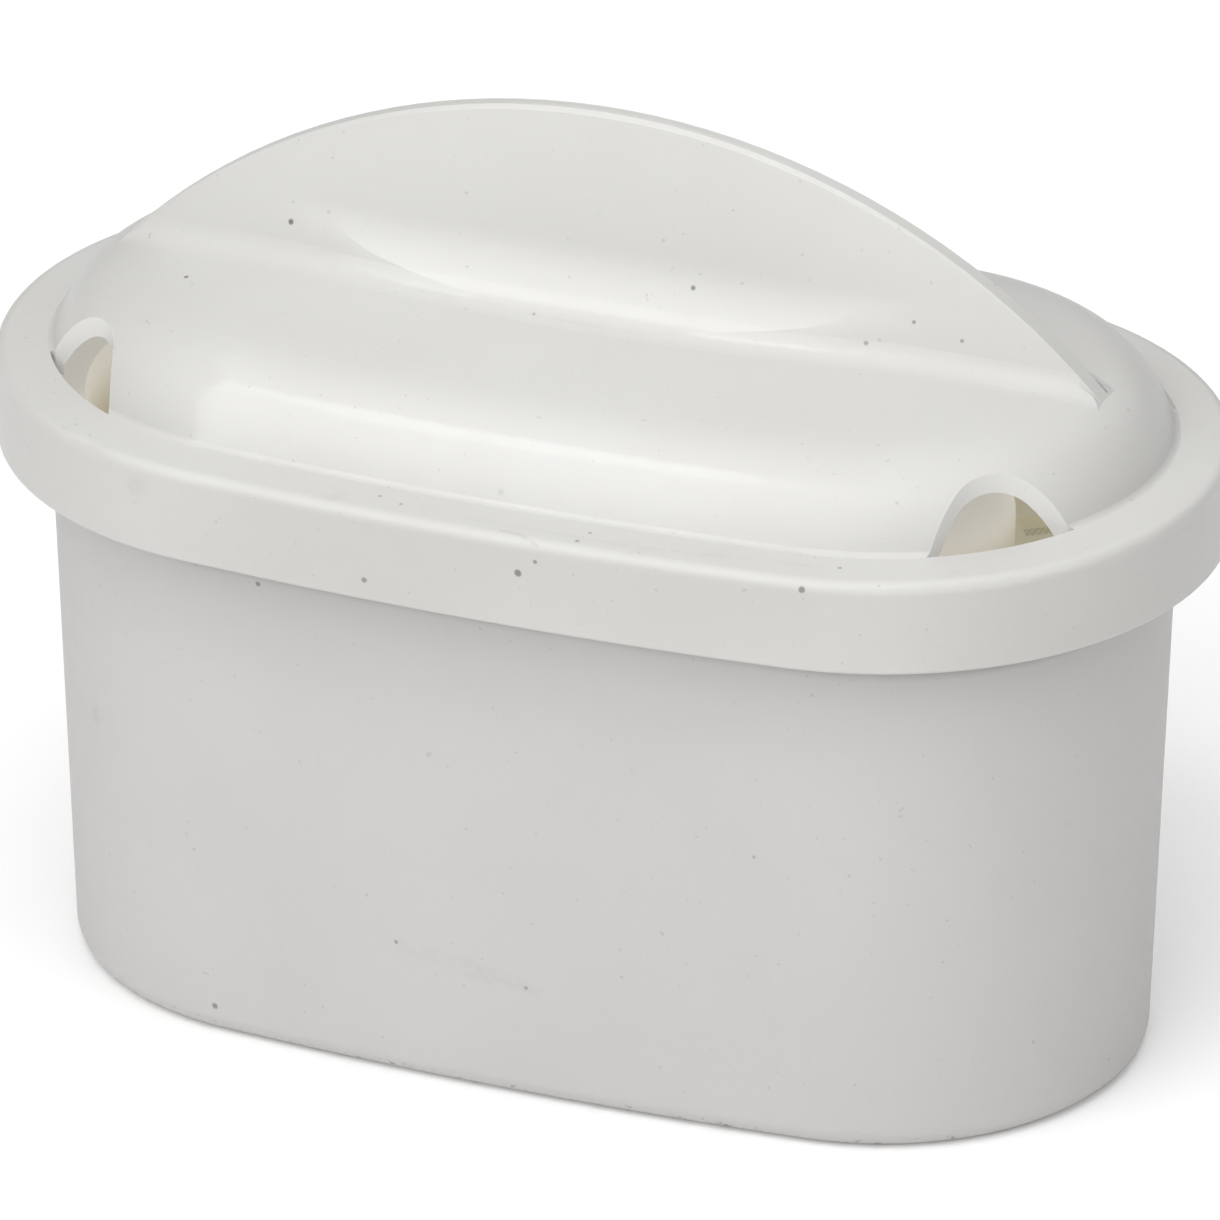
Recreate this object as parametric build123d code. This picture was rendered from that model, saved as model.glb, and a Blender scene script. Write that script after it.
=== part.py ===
from build123d import *
import math
import os

# Drop-in cartridge for a water filter jug: a drafted oval cup filled with
# filter granules, closed by a domed cover with an arched grip on top.
# Millimetres, +Z up, X along the oval, origin at the middle of the foot.

# Rim of the cover, the widest outline
RIM_LENGTH = 107.0
RIM_WIDTH = 61.05
RIM_SIDE_BOW = 1.075
RIM_BOTTOM_Z = 47.55
RIM_HEIGHT = 8.15
RIM_EDGE_ROUND = 1.0
SKIRT_WALL = 1.6
SKIRT_EDGE_ROUND = 0.3
LIP_THICKNESS = 1.5

# Domed roof of the cover
FOOT_INSET = 4.75
FOOT_RISE = 0.3
FOOT_SLOPE = 70.0
FOOT_PULL = 4.6
FOOT_ROUND = 0.6
SHOULDER_INSET = 9.0
SHOULDER_RISE = 7.0
SHOULDER_PULL = 5.5
ROOF_SLOPE = 6.8
WALL_INSET = 0.7
WALL_DROP = 1.1

# Arched grip along the top, and the finger scoops in its flanks
GRIP_HEIGHT = 25.05
GRIP_END_SETBACK = 4.84
GRIP_TOP_THICKNESS = 1.6
GRIP_FLANK_SLOPE = 0.35
GRIP_WALL = 1.15
GRIP_TOP_WALL = 3.2
GRIP_BASE_ROUND = 2.5
GRIP_ROOT_RISE = 2.0
GRIP_EDGE_BREAK = 0.25
SCOOP_RADIUS = 8.0
SCOOP_AXIS_Y = 10.95
SCOOP_FLOOR_RISE = 8.66
SCOOP_TOE_RISE = 1.01
SCOOP_START = 1.0

# Four water inlets at the foot of the roof
INLET_ANGLE = 45.0
INLET_SPLAY = 28.0
INLET_NOSE_ROUND = 7.0
INLET_DEPTH = 3.26
INLET_LIP_CUT = 0.3

# Cup
CUP_END_LEDGE = 6.0
CUP_SIDE_LEDGE = 6.575
CUP_SIDE_BOW = 0.99
CUP_DRAFT = 1.87
CUP_WALL = 1.6
CUP_BOTTOM_ROUND = 1.87
FOOT_RECESS = 1.6
FOOT_RING_WIDTH = 3.4
CUP_FLOOR = 1.8
CUP_FLANGE_RISE = 0.7
CUP_FLANGE_THICKNESS = 1.75

# Outlet slots in the cup floor
OUTLET_SLOT_WIDTH = 1.4
OUTLET_SLOT_LENGTH = 11.0
OUTLET_SLOT_PITCH = 4.2
OUTLET_END_MARGIN = 12.0
OUTLET_ROW_GAP = 2.6

# Snap bead and press rib inside the rim
SNAP_BEAD_REACH = 0.5
SNAP_CLEARANCE = 0.1
SKIRT_CLEARANCE = 0.2
PRESS_RIB_INSET = 2.6
PRESS_RIB_WIDTH = 1.5

# Sieve frame under the cover
FRAME_FLANGE_THICKNESS = 1.2
FRAME_FLANGE_CLEARANCE = 0.4
FRAME_WALL_CLEARANCE = 0.3
FRAME_WALL = 1.2
FRAME_DEPTH = 6.0
FRAME_FLOOR = 1.2
ISLAND_END_GAP = 12.0
ISLAND_WIDTH = 23.0
ISLAND_RISE = 1.4
ISLAND_EDGE_ROUND = 3.0
SIDE_WINDOW_WIDTH = 3.6
SIDE_WINDOW_PITCH = 5.2
END_WINDOWS = 5
WINDOW_MARGIN = 2.0
VENT_SLOT_WIDTH = 1.6
VENT_SLOT_LENGTH = 12.0
VENT_SLOT_PITCH = 4.4
VENT_END_MARGIN = 4.0

# Sieve cloths, outlet frame and filling
CLOTH_THICKNESS = 0.4
FLEECE_THICKNESS = 1.2
OUTLET_FRAME_HEIGHT = 1.6
OUTLET_FRAME_BORDER = 3.0
OUTLET_FRAME_BAR = 1.4
OUTLET_FRAME_BARS = 9
FILL_CLEARANCE = 0.3

# Derived outlines
RIM_END_RADIUS = RIM_WIDTH / 2 - RIM_SIDE_BOW
CUP_LENGTH = RIM_LENGTH - 2 * CUP_END_LEDGE
CUP_WIDTH = RIM_WIDTH - 2 * CUP_SIDE_LEDGE
CUP_END_RADIUS = CUP_WIDTH / 2 - CUP_SIDE_BOW
ISLAND_LENGTH = CUP_LENGTH - 2 * ISLAND_END_GAP
GRIP_HALF_SPAN = RIM_LENGTH / 2 - FOOT_INSET - GRIP_END_SETBACK

# Derived levels
RIM_TOP_Z = RIM_BOTTOM_Z + RIM_HEIGHT
GRIP_TOP_Z = RIM_TOP_Z + GRIP_HEIGHT
SCOOP_FLOOR_Z = RIM_TOP_Z + SCOOP_FLOOR_RISE
SCOOP_AXIS_Z = SCOOP_FLOOR_Z + SCOOP_RADIUS - SCOOP_TOE_RISE
CUP_FLANGE_Z = RIM_BOTTOM_Z + CUP_FLANGE_RISE
FOOT_Z = RIM_TOP_Z + FOOT_RISE
LIP_UNDERSIDE_Z = RIM_TOP_Z - LIP_THICKNESS
CUP_TOP_Z = CUP_FLANGE_Z + CUP_FLANGE_THICKNESS
FRAME_TOP_Z = CUP_TOP_Z + FRAME_FLANGE_THICKNESS
FRAME_FLOOR_Z = CUP_TOP_Z - FRAME_DEPTH
ISLAND_TOP_Z = CUP_TOP_Z + ISLAND_RISE
CUP_FLOOR_TOP_Z = FOOT_RECESS + CUP_FLOOR
DRAFT_RUN = math.tan(math.radians(CUP_DRAFT))
OVERCUT = 1.0
BIG = 200.0
TOUCH = 0.001


def oval(length, width, end_radius, offset=0.0):
    """Flat oval face with round ends and gently bowed long sides, grown by offset."""
    centre = length / 2 - end_radius
    bow = (centre**2 + (width / 2) ** 2 - end_radius**2) / (width - 2 * end_radius)
    turn = math.atan2(bow - width / 2, centre)
    end = end_radius + offset
    joint_x = centre + end * math.cos(turn)
    joint_y = end * math.sin(turn)
    tip = length / 2 + offset
    side = width / 2 + offset
    outline = [
        ThreePointArc((joint_x, -joint_y), (tip, 0), (joint_x, joint_y)),
        ThreePointArc((joint_x, joint_y), (0, side), (-joint_x, joint_y)),
        ThreePointArc((-joint_x, joint_y), (-tip, 0), (-joint_x, -joint_y)),
        ThreePointArc((-joint_x, -joint_y), (0, -side), (joint_x, -joint_y)),
    ]
    return make_face(outline)


def rim_oval(offset=0.0):
    """The rim's outline, grown by offset."""
    return oval(RIM_LENGTH, RIM_WIDTH, RIM_END_RADIUS, offset)


def cup_oval(offset=0.0):
    """The cup's outline at its foot, grown by offset."""
    return oval(CUP_LENGTH, CUP_WIDTH, CUP_END_RADIUS, offset)


def spread(reach, pitch):
    """Middles of a row of equal features, as many as fit within reach of the middle."""
    count = int(reach / pitch)
    return [index * pitch for index in range(-count, count + 1)]


def prism(face, low, high):
    """Straight solid on a flat outline between two heights."""
    return extrude(Pos(0, 0, low) * face, amount=high - low, dir=(0, 0, 1))


def cup_prism(inset, low, high):
    """Solid that follows the cup's drafted outside, moved in by inset."""
    face = Pos(0, 0, low) * cup_oval(low * DRAFT_RUN - inset)
    return extrude(face, amount=high - low, dir=(0, 0, 1), taper=-CUP_DRAFT)


def level_edges(body, level):
    """Edges of a body that lie flat at one height."""
    boxes = [(edge, edge.bounding_box()) for edge in body.edges()]
    return [edge for edge, box in boxes if max(box.max.Z - level, level - box.min.Z) < TOUCH]


def around_rim(section):
    """Sweep a section(u) round the rim's four arcs; u moves it out from the arc's own axis."""
    centre = RIM_LENGTH / 2 - RIM_END_RADIUS
    half_width = RIM_WIDTH / 2
    bow = (centre**2 + half_width**2 - RIM_END_RADIUS**2) / (RIM_WIDTH - 2 * RIM_END_RADIUS)
    turn = math.degrees(math.atan2(bow - half_width, centre))
    arcs = [
        (centre, 0, RIM_END_RADIUS, -turn, 2 * turn),
        (0, half_width - bow, bow, turn, 180 - 2 * turn),
        (-centre, 0, RIM_END_RADIUS, 180 - turn, 2 * turn),
        (0, bow - half_width, bow, 180 + turn, 180 - 2 * turn),
    ]
    pieces = []
    for x, y, radius, start, sweep_angle in arcs:
        upright = Plane((x, y, 0), x_dir=(1, 0, 0), z_dir=(0, -1, 0)).rotated((0, 0, start))
        face = Plane((x, y, 0), upright.x_dir, upright.z_dir) * section(radius)
        pieces.append(revolve(face, Axis((x, y, 0), (0, 0, 1)), sweep_angle))
    return pieces


def roof_curve(inset=0.0, drop=0.0):
    """Control points of the roof's curve in (u, z), from the foot in to the shoulder."""
    rise = math.radians(FOOT_SLOPE)
    roof = math.radians(ROOF_SLOPE)
    foot = Vector(-FOOT_INSET - inset, FOOT_Z - drop)
    shoulder = foot + Vector(-SHOULDER_INSET, SHOULDER_RISE)
    pull_foot = foot + Vector(-math.cos(rise), math.sin(rise)) * FOOT_PULL
    pull_roof = shoulder + Vector(math.cos(roof), -math.sin(roof)) * SHOULDER_PULL
    return foot, pull_foot, pull_roof, shoulder


def arch_radius():
    """Radius of the grip's arch, whose ends meet the roof's curve at their setback."""
    curve = Bezier(*[(point.X, point.Y) for point in roof_curve()])
    upright = Axis((-FOOT_INSET - GRIP_END_SETBACK, 0), (0, 1))
    drop = GRIP_TOP_Z - curve.find_intersection_points(upright)[0].Y
    return (GRIP_HALF_SPAN**2 + drop**2) / (2 * drop)


def dome(inset, drop, bottom_z):
    """Roof solid: a steep foot that turns over into a shallow roof, all round the oval."""
    points = roof_curve(inset, drop)
    foot, shoulder = points[0], points[-1]

    def section(radius):
        reach = min(radius, RIM_WIDTH / 2)
        inner_u = -reach
        crest_z = shoulder.Y + (shoulder.X - inner_u) * math.tan(math.radians(ROOF_SLOPE))
        edges = [
            Bezier(*[(radius + point.X, point.Y) for point in points]),
            Line((radius + shoulder.X, shoulder.Y), (radius + inner_u, crest_z)),
            Line((radius + inner_u, crest_z), (radius + inner_u, bottom_z)),
            Line((radius + inner_u, bottom_z), (radius + foot.X, bottom_z)),
            Line((radius + foot.X, bottom_z), (radius + foot.X, foot.Y)),
        ]
        return make_face(edges)

    right, back, left, front = around_rim(section)
    back_half = Pos(0, BIG / 2, 0) * Box(BIG, BIG, BIG)
    front_half = Pos(0, -BIG / 2, 0) * Box(BIG, BIG, BIG)
    return right + left + (back & back_half) + (front & front_half)


def grip(half_thickness, lowered, bottom_z):
    """Fin under an arch, with flanks that lean out towards the roof."""
    radius = arch_radius()
    top_z = GRIP_TOP_Z - lowered
    end_x = GRIP_HALF_SPAN + GRIP_END_SETBACK / 2
    end_z = top_z - radius + math.sqrt(radius**2 - end_x**2)
    depth = top_z - bottom_z
    low_z = bottom_z - depth
    outline = [
        ThreePointArc((-end_x, end_z), (0, top_z), (end_x, end_z)),
        Polyline([(end_x, end_z), (end_x, low_z), (-end_x, low_z), (-end_x, end_z)]),
    ]
    side_view = Plane.XZ * make_face(outline)
    middle = extrude(Pos(0, half_thickness, 0) * side_view, amount=2 * half_thickness, dir=(0, -1, 0))
    lean = Vector(0, -GRIP_FLANK_SLOPE, -1)
    flank = extrude(Pos(0, -half_thickness, 0) * side_view, amount=depth * lean.length, dir=lean)
    body = middle + flank + mirror(flank, about=Plane.XZ)
    return body & Pos(0, 0, bottom_z + BIG / 2) * Box(BIG, BIG, BIG)


def ridge_edge_cutters():
    """Two thin arched cutters that break the ridge's sharp edges, fading out towards its ends."""
    fade_x = GRIP_HALF_SPAN - 2 * GRIP_BASE_ROUND
    arch = arch_radius()
    fade_drop = arch - math.sqrt(arch**2 - fade_x**2) - GRIP_EDGE_BREAK
    radius = (fade_x**2 + fade_drop**2) / (2 * fade_drop)
    edge_y = GRIP_TOP_THICKNESS / 2 - GRIP_EDGE_BREAK
    fall = GRIP_EDGE_BREAK / (1 - GRIP_FLANK_SLOPE)
    outside_z = GRIP_TOP_Z + GRIP_EDGE_BREAK
    outside_y = edge_y + fall + GRIP_EDGE_BREAK
    corners = [
        (edge_y - GRIP_EDGE_BREAK, outside_z),
        (outside_y, outside_z),
        (outside_y, GRIP_TOP_Z - fall - GRIP_EDGE_BREAK),
    ]
    arch_axis = Axis((0, 0, GRIP_TOP_Z - radius), (0, 1, 0))
    half_turn = math.degrees(math.asin(GRIP_HALF_SPAN / radius))
    face = Plane.YZ * make_face(Polyline(corners, close=True))
    front = revolve(face.rotate(arch_axis, -half_turn), arch_axis, 2 * half_turn)
    return [front, mirror(front, about=Plane.XZ)]


def scoops(growth=0.0):
    """Two long cutters, one beside each flank: down the flank, then out in a hollow curve."""
    radius = SCOOP_RADIUS + growth
    centre = Vector(SCOOP_AXIS_Y, SCOOP_AXIS_Z)
    floor_z = SCOOP_FLOOR_Z - growth
    start = Vector(GRIP_TOP_THICKNESS / 2 + GRIP_FLANK_SLOPE * SCOOP_START, GRIP_TOP_Z - SCOOP_START)
    to_centre = centre - start
    lean = math.atan2(to_centre.X, -to_centre.Y) - math.asin(SCOOP_RADIUS / to_centre.length)
    down = Vector(math.sin(lean), -math.cos(lean))
    inward = Vector(-math.cos(lean), -math.sin(lean))
    tangent = centre + inward * radius
    above = tangent - down * (GRIP_HEIGHT / math.cos(lean))
    drop = centre.Y - floor_z
    toe = Vector(centre.X - math.sqrt(radius**2 - drop**2), floor_z)
    halfway = ((tangent - centre) + (toe - centre)).normalized()
    bend = centre + halfway * radius
    outer = RIM_WIDTH / 2
    edges = [
        Line((above.X, above.Y), (tangent.X, tangent.Y)),
        ThreePointArc((tangent.X, tangent.Y), (bend.X, bend.Y), (toe.X, toe.Y)),
        Polyline([(toe.X, toe.Y), (outer, floor_z), (outer, above.Y), (above.X, above.Y)]),
    ]
    back = extrude(Plane.YZ * make_face(edges), amount=RIM_LENGTH / 2, both=True)
    return [back, mirror(back, about=Plane.XZ)]


def rim_section(radius):
    """Section of the rim: skirt with a snap bead, lip and press rib."""
    bead_low = RIM_BOTTOM_Z + SKIRT_EDGE_ROUND
    bead_high = CUP_FLANGE_Z - SNAP_CLEARANCE
    rib_out = -PRESS_RIB_INSET
    rib_in = rib_out - PRESS_RIB_WIDTH
    lip_in = -FOOT_INSET - WALL_INSET - SKIRT_WALL
    points = [
        (0, RIM_BOTTOM_Z),
        (0, RIM_TOP_Z),
        (-FOOT_INSET, FOOT_Z),
        (lip_in, FOOT_Z),
        (lip_in, LIP_UNDERSIDE_Z),
        (rib_in, LIP_UNDERSIDE_Z),
        (rib_in, FRAME_TOP_Z),
        (rib_out, FRAME_TOP_Z),
        (rib_out, LIP_UNDERSIDE_Z),
        (-SKIRT_WALL, LIP_UNDERSIDE_Z),
        (-SKIRT_WALL, bead_high),
        (-SKIRT_WALL - SNAP_BEAD_REACH, bead_high),
        (-SKIRT_WALL, bead_low),
        (-SKIRT_WALL, RIM_BOTTOM_Z),
    ]
    face = make_face(Polyline([(radius + u, z) for u, z in points], close=True))
    outer_corners = face.vertices().filter_by(lambda corner: abs(corner.X - radius) < TOUCH).sort_by(Axis.Y)
    face = fillet(outer_corners[-1], RIM_EDGE_ROUND)
    outer_corners = face.vertices().filter_by(lambda corner: abs(corner.X - radius) < TOUCH).sort_by(Axis.Y)
    return fillet(outer_corners[0], SKIRT_EDGE_ROUND)


def inlet_posts():
    """Four upright wedges with a round nose that notch the roof's foot, kept inside the lip."""
    centre = RIM_LENGTH / 2 - RIM_END_RADIUS
    nose_axis = RIM_END_RADIUS - FOOT_INSET - INLET_DEPTH + INLET_NOSE_ROUND
    splay = math.radians(INLET_SPLAY)
    touch_x = nose_axis - INLET_NOSE_ROUND * math.cos(splay)
    touch_y = INLET_NOSE_ROUND * math.sin(splay)
    far_x = touch_x + RIM_END_RADIUS * math.sin(splay)
    far_y = touch_y + RIM_END_RADIUS * math.cos(splay)
    outline = [
        ThreePointArc((touch_x, -touch_y), (nose_axis - INLET_NOSE_ROUND, 0), (touch_x, touch_y)),
        Polyline([(touch_x, touch_y), (far_x, far_y), (far_x, -far_y), (touch_x, -touch_y)]),
    ]
    wedge = make_face(outline)
    low = LIP_UNDERSIDE_Z - OVERCUT
    high = FOOT_Z + SHOULDER_RISE
    inside = prism(rim_oval(INLET_LIP_CUT - FOOT_INSET), low, high)
    posts = []
    for end in (0, 180):
        for turn in (-INLET_ANGLE, INLET_ANGLE):
            place = Rot(0, 0, end) * Pos(centre, 0) * Rot(0, 0, turn)
            posts.append(prism(place * wedge, low, high) & inside)
    return posts


def make_cover():
    """Cover in one moulding: rim, roof, hollow grip, scoops and inlets."""
    ring = around_rim(rim_section)
    rim = ring[0] + ring[1] + ring[2] + ring[3]
    roof = dome(0, 0, LIP_UNDERSIDE_Z)
    fin = grip(GRIP_TOP_THICKNESS / 2, 0, FOOT_Z + GRIP_ROOT_RISE)
    body = roof + fin
    seam = new_edges(roof, fin, combined=body)
    flanks = [edge for edge in seam if edge.bounding_box().size.X > edge.bounding_box().size.Y]
    body = fillet(flanks, GRIP_BASE_ROUND)
    for scoop in scoops():
        body -= scoop
    for ring_cut in ridge_edge_cutters():
        body -= ring_cut
    inner_half = GRIP_TOP_THICKNESS / 2 + GRIP_FLANK_SLOPE * GRIP_TOP_WALL - GRIP_WALL
    hollow_grip = grip(inner_half, GRIP_TOP_WALL, FOOT_Z + GRIP_ROOT_RISE / 2)
    for scoop in scoops(GRIP_WALL):
        hollow_grip -= scoop
    hollow = dome(WALL_INSET, WALL_DROP, LIP_UNDERSIDE_Z - OVERCUT)
    for scoop in scoops(GRIP_WALL):
        hollow -= scoop
    cover = rim + body
    cover = fillet(level_edges(cover, FOOT_Z), FOOT_ROUND)
    cover -= hollow
    cover -= hollow_grip
    for post in inlet_posts():
        cover -= post
    return cover


def make_cup():
    """Cup in one moulding: drafted wall, ring foot, slotted floor and top flange."""
    body = cup_prism(0, 0, CUP_TOP_Z)
    bottom = body.faces().sort_by(Axis.Z)[0]
    body = fillet(bottom.edges(), CUP_BOTTOM_ROUND)
    body += prism(rim_oval(-SKIRT_WALL - SKIRT_CLEARANCE), CUP_FLANGE_Z, CUP_TOP_Z)
    body -= cup_prism(CUP_WALL, CUP_FLOOR_TOP_Z, CUP_TOP_Z + OVERCUT)
    body -= prism(cup_oval(-FOOT_RING_WIDTH), -OVERCUT, FOOT_RECESS)
    slot = Rectangle(OUTLET_SLOT_WIDTH, OUTLET_SLOT_LENGTH)
    row_y = (OUTLET_SLOT_LENGTH + OUTLET_ROW_GAP) / 2
    reach = CUP_LENGTH / 2 - FOOT_RING_WIDTH - OUTLET_END_MARGIN
    pattern = Sketch()
    for x in spread(reach, OUTLET_SLOT_PITCH):
        pattern += Pos(x, row_y) * slot
        pattern += Pos(x, -row_y) * slot
    return body - prism(pattern, FOOT_RECESS - OVERCUT, CUP_FLOOR_TOP_Z + OVERCUT)


def island_oval(inset=0.0):
    """Outline of the raised middle of the sieve frame, moved in by inset."""
    return SlotOverall(ISLAND_LENGTH - 2 * inset, ISLAND_WIDTH - 2 * inset)


def make_sieve_frame():
    """Sieve frame in one moulding: flange, drop wall, windowed floor and raised island."""
    inset = CUP_WALL + FRAME_WALL_CLEARANCE
    flange = prism(rim_oval(-SKIRT_WALL - FRAME_FLANGE_CLEARANCE), CUP_TOP_Z, FRAME_TOP_Z)
    tub = cup_prism(inset, FRAME_FLOOR_Z, CUP_TOP_Z)
    body = flange + tub
    body -= cup_prism(inset + FRAME_WALL, FRAME_FLOOR_Z + FRAME_FLOOR, FRAME_TOP_Z + OVERCUT)
    island = prism(island_oval(), FRAME_FLOOR_Z, ISLAND_TOP_Z)
    top = island.faces().sort_by(Axis.Z)[-1]
    island = fillet(top.edges(), ISLAND_EDGE_ROUND)
    hollow = prism(island_oval(FRAME_WALL), FRAME_FLOOR_Z - OVERCUT, ISLAND_TOP_Z - FRAME_WALL)
    ceiling = hollow.faces().sort_by(Axis.Z)[-1]
    hollow = fillet(ceiling.edges(), ISLAND_EDGE_ROUND - FRAME_WALL)
    body = body + island - hollow
    windows = frame_windows(inset)
    body -= prism(windows, FRAME_FLOOR_Z - OVERCUT, FRAME_FLOOR_Z + FRAME_FLOOR + OVERCUT)
    slot = Rectangle(VENT_SLOT_WIDTH, VENT_SLOT_LENGTH)
    reach = (ISLAND_LENGTH - ISLAND_WIDTH) / 2 - VENT_END_MARGIN
    vents = Sketch() + [Pos(x, 0) * slot for x in spread(reach, VENT_SLOT_PITCH)]
    return body - prism(vents, ISLAND_TOP_Z - 2 * FRAME_WALL, ISLAND_TOP_Z + OVERCUT)


def frame_windows(inset):
    """Window pattern in the frame's floor, between the island and the drop wall."""
    outer = cup_oval(FRAME_FLOOR_Z * DRAFT_RUN - inset - FRAME_WALL - WINDOW_MARGIN / 2)
    zone = outer - island_oval(-WINDOW_MARGIN / 2)
    bars = Sketch()
    end_x = (ISLAND_LENGTH - ISLAND_WIDTH) / 2
    for x in spread(end_x, SIDE_WINDOW_PITCH):
        bars += Pos(x, 0) * Rectangle(SIDE_WINDOW_WIDTH, CUP_WIDTH)
    step = 180 / END_WINDOWS
    for side in (-1, 1):
        for index in range(END_WINDOWS):
            turn = (index - (END_WINDOWS - 1) / 2) * step + (0 if side > 0 else 180)
            ray = Pos(side * end_x, 0) * Rot(0, 0, turn) * Pos(CUP_WIDTH / 2, 0)
            bars += ray * Rectangle(CUP_WIDTH, SIDE_WINDOW_WIDTH)
    return zone & bars


def make_upper_cloth():
    """Sieve cloth under the frame's floor, one sheet."""
    top = FRAME_FLOOR_Z
    return cup_prism(CUP_WALL + FRAME_WALL_CLEARANCE, top - CLOTH_THICKNESS, top)


def make_outlet_frame():
    """Flat ladder frame on the cup floor, over the outlet slots."""
    low = CUP_FLOOR_TOP_Z
    high = low + OUTLET_FRAME_HEIGHT
    inset = CUP_WALL + FRAME_WALL_CLEARANCE
    plate = cup_prism(inset, low, high)
    window = cup_oval(-inset - OUTLET_FRAME_BORDER)
    bars = Sketch()
    middle = (OUTLET_FRAME_BARS - 1) / 2
    pitch = (CUP_LENGTH - 2 * OUTLET_FRAME_BORDER) / (OUTLET_FRAME_BARS + 1)
    for index in range(OUTLET_FRAME_BARS):
        bars += Pos((index - middle) * pitch, 0) * Rectangle(OUTLET_FRAME_BAR, CUP_WIDTH)
    bars += Rectangle(CUP_LENGTH, OUTLET_FRAME_BAR)
    return plate - prism(window - bars, low - OVERCUT, high + OVERCUT)


def make_fleece():
    """Fine fleece on the outlet frame, one pad."""
    low = CUP_FLOOR_TOP_Z + OUTLET_FRAME_HEIGHT
    return cup_prism(CUP_WALL + FILL_CLEARANCE, low, low + FLEECE_THICKNESS)


def make_filling():
    """Filter granules as one bulk body between fleece and upper cloth."""
    low = CUP_FLOOR_TOP_Z + OUTLET_FRAME_HEIGHT + FLEECE_THICKNESS
    high = FRAME_FLOOR_Z - CLOTH_THICKNESS
    return cup_prism(CUP_WALL + FILL_CLEARANCE, low, high)


def main():
    """Build every piece and write one file for each."""
    os.makedirs("parts", exist_ok=True)
    pieces = {
        "cup": make_cup(),
        "cover": make_cover(),
        "sieve_frame": make_sieve_frame(),
        "upper_cloth": make_upper_cloth(),
        "granule_filling": make_filling(),
        "outlet_fleece": make_fleece(),
        "outlet_frame": make_outlet_frame(),
    }
    for name, piece in pieces.items():
        export_step(piece, f"parts/{name}.step")


main()
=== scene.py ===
"""Looks of an oval drop-in water filter cartridge: its finishes, the studio light and the camera.

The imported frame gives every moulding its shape. This file dresses each one in the
finish of the real part, sets it on a pale table and looks at it from the photo's angle.
Lengths are millimetres and heights are measured from the table, unless a docstring says otherwise.
"""

import logging
import math
from dataclasses import dataclass
from enum import Enum
from functools import cached_property
from typing import ClassVar, Optional, Union

import bmesh
import bpy
from mathutils import Matrix, Vector
from mathutils.bvhtree import BVHTree

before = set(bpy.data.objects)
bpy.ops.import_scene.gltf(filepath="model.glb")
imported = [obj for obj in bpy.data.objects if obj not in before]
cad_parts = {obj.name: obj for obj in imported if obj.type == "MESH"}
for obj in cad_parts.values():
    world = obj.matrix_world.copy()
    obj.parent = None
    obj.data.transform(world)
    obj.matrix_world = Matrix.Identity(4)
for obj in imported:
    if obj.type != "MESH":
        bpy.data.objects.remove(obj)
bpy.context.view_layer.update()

MM = 0.001
PHOTO_SIDE = 1220.0
NOISE_MIDDLE = 0.5
PAINT_WHITE = (1.0, 1.0, 1.0)
log = logging.getLogger("cartridge")

Triple = tuple[float, float, float]
Colour = Triple
Operand = Union["Signal", float]
Sockets = dict[Union[str, int], object]


class Axis(Enum):
    """Directions of the cartridge."""

    LENGTH = "X"
    ACROSS = "Y"
    HEIGHT = "Z"


class Piece(Enum):
    """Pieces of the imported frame."""

    CUP = "cup"
    COVER = "cover"
    SIEVE_FRAME = "sieve_frame"
    UPPER_CLOTH = "upper_cloth"
    GRANULE_FILLING = "granule_filling"
    OUTLET_FLEECE = "outlet_fleece"
    OUTLET_FRAME = "outlet_frame"


class Signal:
    """One socket that carries a value in a material; arithmetic on it adds Math nodes."""

    def __init__(self, bench: "Bench", socket: bpy.types.NodeSocket) -> None:
        """Wrap a node's output socket."""
        self.bench = bench
        self.socket = socket

    def _math(self, operation: str, *values: Operand) -> "Signal":
        """Result of one Math node that is fed these values in order."""
        return self.bench.make("ShaderNodeMath", {"operation": operation}, dict(enumerate(values)))

    def __add__(self, other: Operand) -> "Signal":
        """Sum of two values."""
        return self._math("ADD", self, other)

    def __sub__(self, other: Operand) -> "Signal":
        """Difference of two values."""
        return self._math("SUBTRACT", self, other)

    def __rsub__(self, other: Operand) -> "Signal":
        """Difference with the number on the left."""
        return self._math("SUBTRACT", other, self)

    def __mul__(self, other: Operand) -> "Signal":
        """Product of two values."""
        return self._math("MULTIPLY", self, other)

    def __truediv__(self, other: Operand) -> "Signal":
        """Quotient of two values."""
        return self._math("DIVIDE", self, other)

    __radd__ = __add__
    __rmul__ = __mul__

    def __abs__(self) -> "Signal":
        """Size of the value without its sign."""
        return self._math("ABSOLUTE", self)

    def highest(self, other: Operand) -> "Signal":
        """The larger of two values."""
        return self._math("MAXIMUM", self, other)

    def lowest(self, other: Operand) -> "Signal":
        """The smaller of two values."""
        return self._math("MINIMUM", self, other)

    def root(self) -> "Signal":
        """Square root of the value, nought where it is negative."""
        return self._math("SQRT", self.highest(0.0))

    def sine(self) -> "Signal":
        """Sine of the value, which is an angle in radians."""
        return self._math("SINE", self)

    def ramp(self, low: float, high: float, start: float = 0.0, end: float = 1.0) -> "Signal":
        """Smooth step between two readings, which may come in either order.

        Args:
            low: Reading that gives start.
            high: Reading that gives end.
            start: Result at low and beyond it.
            end: Result at high and beyond it.

        Returns:
            The eased result.
        """
        if low > high:
            low, high, start, end = high, low, end, start
        sockets = {"Value": self, "From Min": low, "From Max": high, "To Min": start, "To Max": end}
        return self.bench.make("ShaderNodeMapRange", {"interpolation_type": "SMOOTHSTEP"}, sockets)

    def fall(self, low: float, high: float) -> "Signal":
        """Smooth step from one at the low reading to nought at the high one."""
        return self.ramp(low, high, 1.0, 0.0)


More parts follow.
